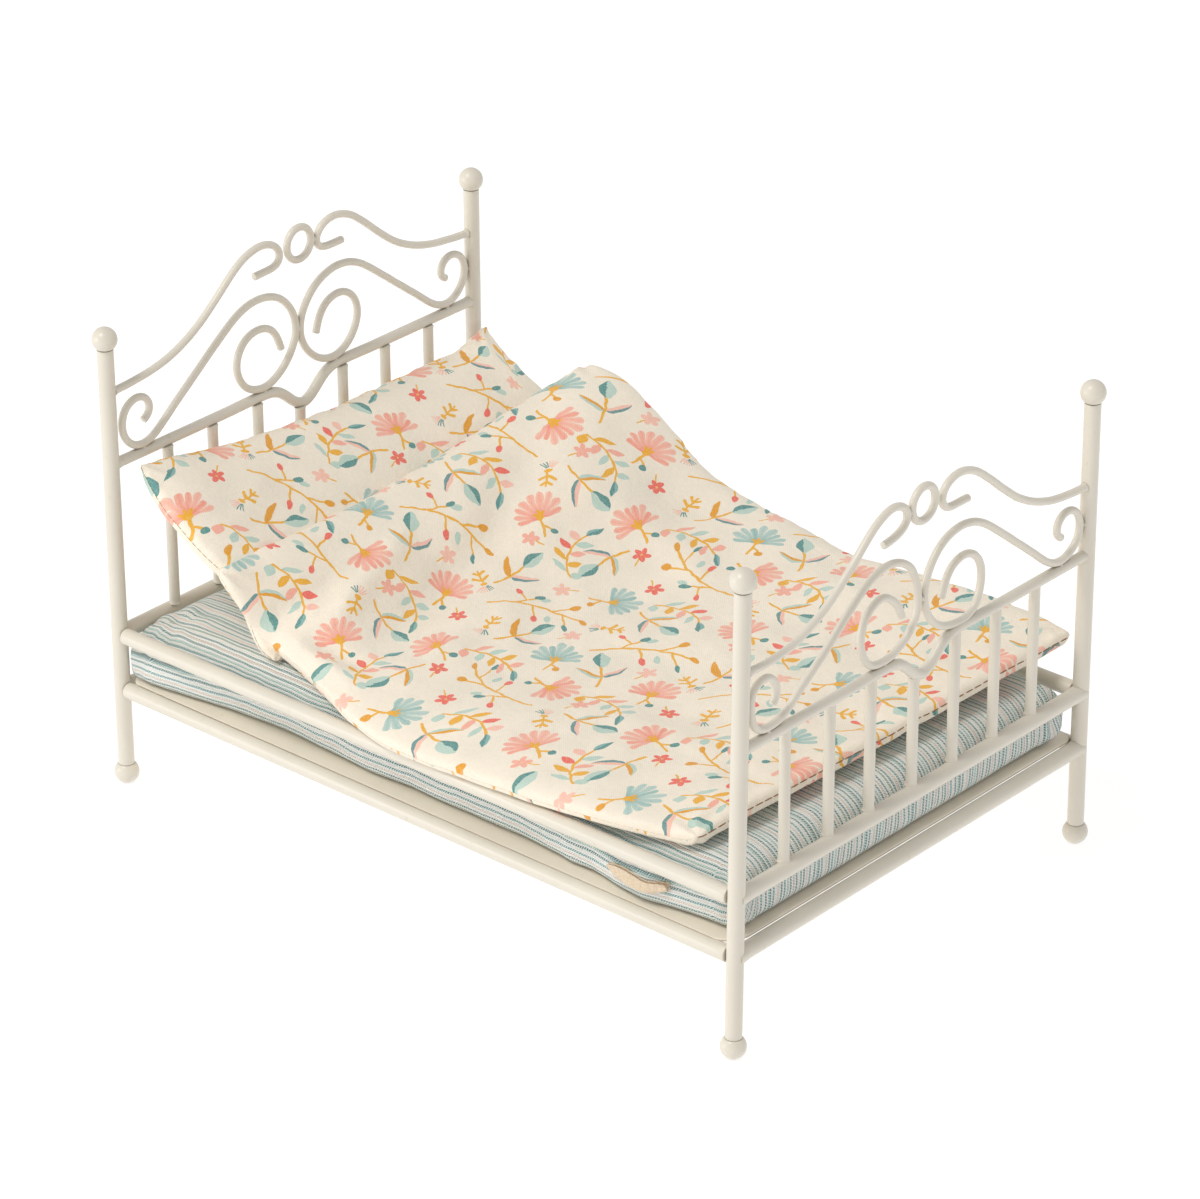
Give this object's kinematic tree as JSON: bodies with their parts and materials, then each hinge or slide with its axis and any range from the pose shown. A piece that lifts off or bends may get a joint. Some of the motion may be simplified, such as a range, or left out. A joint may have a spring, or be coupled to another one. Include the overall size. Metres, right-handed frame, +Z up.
{
  "type": "miniature four poster bed",
  "caption": "Miniature metal bed with scrolled ends on four ball-ended posts, holding a striped mattress, a leaning pillow and a padded floral duvet.",
  "frame": {"origin": "on the floor, under the middle of the frame", "axes": "+X across the bed, +Y along it towards the head end, +Z up"},
  "size_m": [0.1992, 0.2978, 0.1892],
  "materials": {
    "frame_paint": "semi-gloss ivory powder coat",
    "striped_cloth": "woven cotton with lengthwise stripes",
    "tag_cloth": "plain unbleached cotton",
    "printed_cloth": "printed plain-weave cotton"
  },
  "bodies": {
    "frame": {"post_head_left": "frame_paint", "post_head_right": "frame_paint", "post_foot_left": "frame_paint", "post_foot_right": "frame_paint", "finial_head_left": "frame_paint", "finial_head_right": "frame_paint", "finial_foot_left": "frame_paint", "finial_foot_right": "frame_paint", "foot_ball_head_left": "frame_paint", "foot_ball_head_right": "frame_paint", "foot_ball_foot_left": "frame_paint", "foot_ball_foot_right": "frame_paint", "side_rail_upper_left": "frame_paint", "side_rail_upper_right": "frame_paint", "side_rail_lower_left": "frame_paint", "side_rail_lower_right": "frame_paint", "head_crossbar_bottom": "frame_paint", "head_crossbar_spindle": "frame_paint", "head_crossbar_top": "frame_paint", "head_spindle_1": "frame_paint", "head_spindle_2": "frame_paint", "head_spindle_3": "frame_paint", "head_spindle_4": "frame_paint", "head_spindle_5": "frame_paint", "head_spindle_6": "frame_paint", "head_spindle_7": "frame_paint", "head_arch_wire_left": "frame_paint", "head_arch_wire_right": "frame_paint", "head_scroll_wire_left": "frame_paint", "head_scroll_wire_right": "frame_paint", "head_ring": "frame_paint", "foot_crossbar_bottom": "frame_paint", "foot_crossbar_spindle": "frame_paint", "foot_crossbar_top": "frame_paint", "foot_spindle_1": "frame_paint", "foot_spindle_2": "frame_paint", "foot_spindle_3": "frame_paint", "foot_spindle_4": "frame_paint", "foot_spindle_5": "frame_paint", "foot_spindle_6": "frame_paint", "foot_spindle_7": "frame_paint", "foot_arch_wire_left": "frame_paint", "foot_arch_wire_right": "frame_paint", "foot_scroll_wire_left": "frame_paint", "foot_scroll_wire_right": "frame_paint", "foot_ring": "frame_paint", "base_panel": "frame_paint"},
    "mattress": {"mattress": "striped_cloth", "mattress_tag": "tag_cloth"},
    "pillow": {"pillow": "printed_cloth"},
    "duvet": {"duvet": "printed_cloth"}
  },
  "joints": [
    {"name": "mattress_lift", "type": "slide", "parent": "frame", "child": "mattress", "axis": [0, 0, 1], "range_m": [0, 0.16]},
    {"name": "pillow_lift", "type": "slide", "parent": "mattress", "child": "pillow", "axis": [0, 0, 1], "range_m": [0, 0.14]},
    {"name": "duvet_lift", "type": "slide", "parent": "pillow", "child": "duvet", "axis": [0, 0, 1], "range_m": [0, 0.14]}
  ]
}
